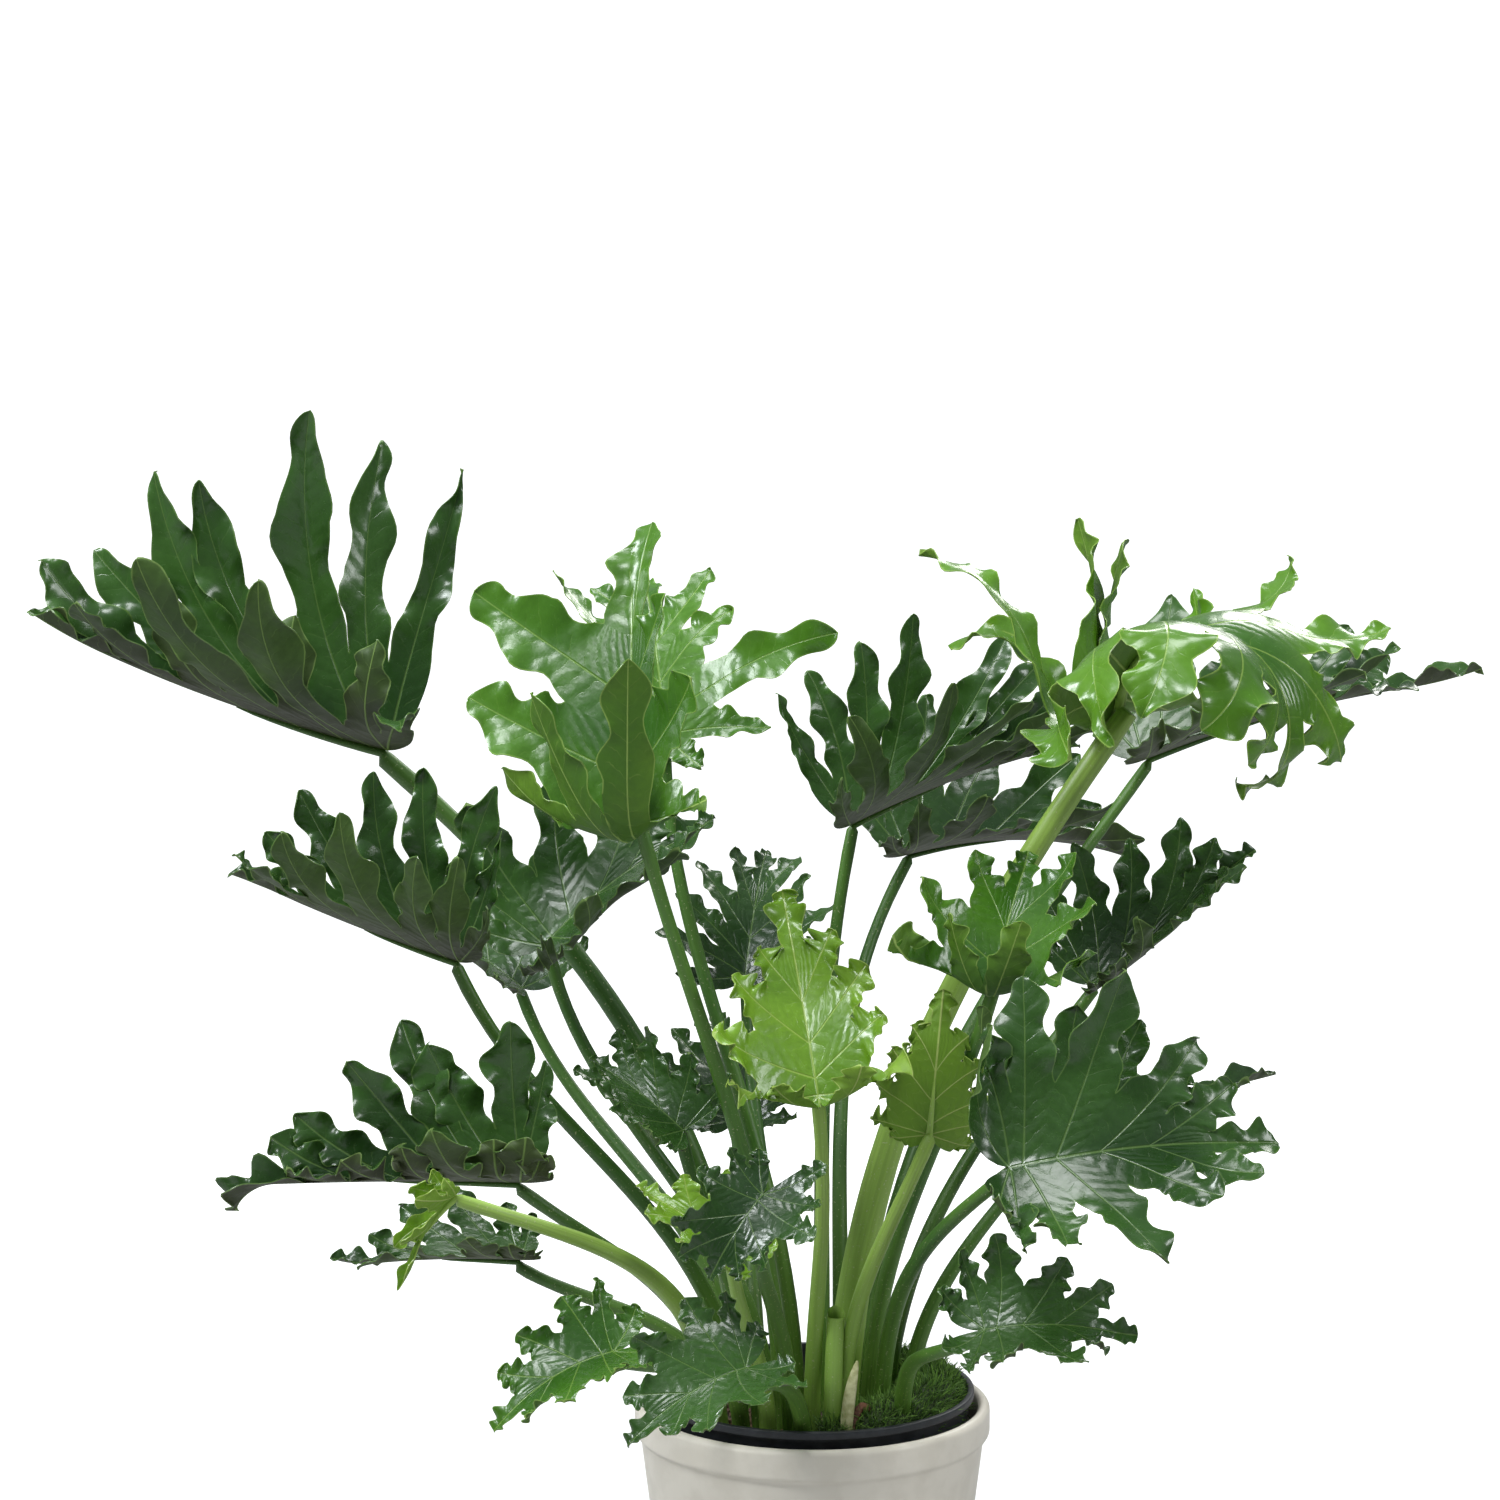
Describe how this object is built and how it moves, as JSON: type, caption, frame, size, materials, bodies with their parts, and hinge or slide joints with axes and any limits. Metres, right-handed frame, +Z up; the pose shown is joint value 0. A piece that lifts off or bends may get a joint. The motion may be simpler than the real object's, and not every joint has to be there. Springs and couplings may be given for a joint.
{
  "type": "philodendron selloum",
  "caption": "Split-leaf philodendron house plant with lobed, wavy blades on long curved stalks, standing in soil and moss inside a lined round pot.",
  "frame": {"origin": "middle of the pot's underside, on the surface it stands on", "axes": "+Z up, the side that the picture shows faces -Y, +X to the picture's right"},
  "size_m": [1.5469, 0.8719, 1.3186],
  "materials": {
    "leaf_dark": "satin, waxy",
    "leaf_mid": "satin, waxy",
    "leaf_fresh": "satin, waxy",
    "leaf_young": "satin, waxy",
    "stalk_green": "smooth, satin",
    "stalk_light": "smooth, satin",
    "stalk_pale": "smooth, satin",
    "pale_pot": "satin",
    "black_plastic": "matte",
    "soil": "matte, crumbly",
    "moss": "matte, feathery",
    "root_brown": "matte"
  },
  "bodies": {
    "root": {"blade_high_left": "leaf_dark", "stalk_high_left": "stalk_green", "blade_top_middle": "leaf_mid", "stalk_top_middle": "stalk_light", "blade_top_back": "leaf_mid", "stalk_top_back": "stalk_light", "blade_upper_left": "leaf_dark", "stalk_upper_left": "stalk_green", "blade_inner_left": "leaf_dark", "stalk_inner_left": "stalk_green", "blade_back_left": "leaf_dark", "stalk_back_left": "stalk_green", "blade_inner_right": "leaf_dark", "stalk_inner_right": "stalk_green", "blade_back_right": "leaf_dark", "stalk_back_right": "stalk_green", "blade_top_right": "leaf_fresh", "stalk_top_right": "stalk_pale", "blade_far_right": "leaf_dark", "stalk_far_right": "stalk_green", "blade_upper_right": "leaf_dark", "stalk_upper_right": "stalk_green", "blade_middle_right": "leaf_mid", "stalk_middle_right": "stalk_light", "blade_big_right": "leaf_dark", "stalk_big_right": "stalk_green", "blade_behind_right": "leaf_dark", "stalk_behind_right": "stalk_green", "blade_young_right": "leaf_young", "stalk_young_right": "stalk_pale", "blade_young_middle": "leaf_young", "stalk_young_middle": "stalk_pale", "blade_middle_back": "leaf_dark", "stalk_middle_back": "stalk_green", "blade_big_left": "leaf_dark", "stalk_big_left": "stalk_green", "blade_low_left": "leaf_dark", "stalk_low_left": "stalk_green", "blade_new_left": "leaf_young", "stalk_new_left": "stalk_pale", "blade_front_left": "leaf_dark", "stalk_front_left": "stalk_green", "blade_front_middle": "leaf_dark", "stalk_front_middle": "stalk_green", "blade_young_front": "leaf_young", "stalk_young_front": "stalk_pale", "blade_bottom_left": "leaf_mid", "stalk_bottom_left": "stalk_light", "blade_bottom_middle": "leaf_dark", "stalk_bottom_middle": "stalk_green", "blade_bottom_right": "leaf_dark", "stalk_bottom_right": "stalk_green", "blade_low_back": "leaf_dark", "stalk_low_back": "stalk_green", "pot": "pale_pot", "nursery_liner": "black_plastic", "soil": "soil", "moss": "moss", "cut_stalk": "stalk_pale", "aerial_root": "root_brown"}
  },
  "joints": []
}
